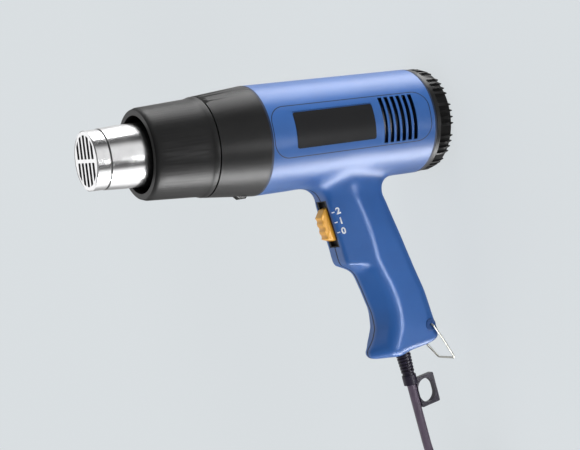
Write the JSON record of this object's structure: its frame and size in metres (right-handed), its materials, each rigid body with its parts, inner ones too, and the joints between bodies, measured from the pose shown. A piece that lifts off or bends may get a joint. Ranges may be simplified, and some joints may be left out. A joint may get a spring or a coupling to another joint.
{
  "type": "hot air tool",
  "caption": "Pistol-grip hot air tool with ribbed rear stand cap, steel nozzle in a heat guard, slide switch, wire hanging hook, looped strain relief and coiled cord.",
  "frame": {"origin": "middle of the rear cap's flat rest face, on which the tool stands with its nozzle up", "axes": "+Z along the barrel towards the nozzle, -X along the handle, -Y towards the side with the bare label plate"},
  "size_m": [0.3789, 0.0918, 0.249],
  "materials": {
    "housing_blue": "smooth satin blue moulded plastic",
    "label_black": "flat black plate, bare",
    "trim_black": "black heat-resistant plastic, satin",
    "tube_steel": "bright rolled stainless steel",
    "switch_black": "black plastic",
    "slider_orange": "orange plastic",
    "bush_blue": "darker blue plastic",
    "wire_steel": "bright steel wire",
    "relief_rubber": "dark flexible vinyl",
    "screw_steel": "plated steel",
    "cord_rubber": "grey-violet vinyl sheath",
    "lead_red": "insulated wire",
    "inner_black": "black plastic",
    "motor_steel": "zinc-plated steel",
    "impeller_grey": "grey plastic",
    "board_tan": "phenolic circuit board",
    "mica": "mica sheet",
    "heater_wire": "resistance wire",
    "plug_black": "moulded vinyl",
    "blade_brass": "brass blades"
  },
  "bodies": {
    "tool": {"left_housing": "housing_blue", "right_housing": "housing_blue", "label_plate": "label_black", "rear_cap": "trim_black", "front_cone": "trim_black", "heat_guard": "trim_black", "nozzle_tube": "tube_steel", "outlet_grille": "tube_steel", "switch_frame": "switch_black", "switch_body": "switch_black", "hook_bushes": "bush_blue", "strain_relief": "relief_rubber", "cord_clamp": "inner_black", "clamp_screws": "screw_steel", "sheathed_lead": "cord_rubber", "inner_leads": "lead_red", "fan_duct": "inner_black", "motor_can": "motor_steel", "motor_end_bell": "inner_black", "rectifier_board": "board_tan", "diodes": "inner_black", "heater_core": "mica", "heater_coil": "heater_wire", "mica_sleeve": "mica", "thermal_cutout": "inner_black", "tube_screws": "screw_steel", "housing_screws": "screw_steel", "power_cord": "cord_rubber", "cord_coil": "cord_rubber", "plug_body": "plug_black", "plug_blades": "blade_brass"},
    "slider": {"switch_slider": "slider_orange"},
    "bail": {"hanging_wire": "wire_steel"},
    "rotor": {"motor_shaft": "motor_steel", "impeller": "impeller_grey"}
  },
  "joints": [
    {"name": "speed_switch", "type": "slide", "parent": "tool", "child": "slider", "axis": [0.9845, 0, 0.1755], "range_m": [-0.0042, 0.0042]},
    {"name": "wire_swing", "type": "hinge", "parent": "tool", "child": "bail", "pos_m": [-0.13795, 0, 0.02859], "axis": [0, 1, 0], "range_deg": [-130, 48]},
    {"name": "motor_spin", "type": "hinge", "parent": "tool", "child": "rotor", "pos_m": [0, 0, 0.05], "axis": [0, 0, 1], "continuous": true}
  ]
}
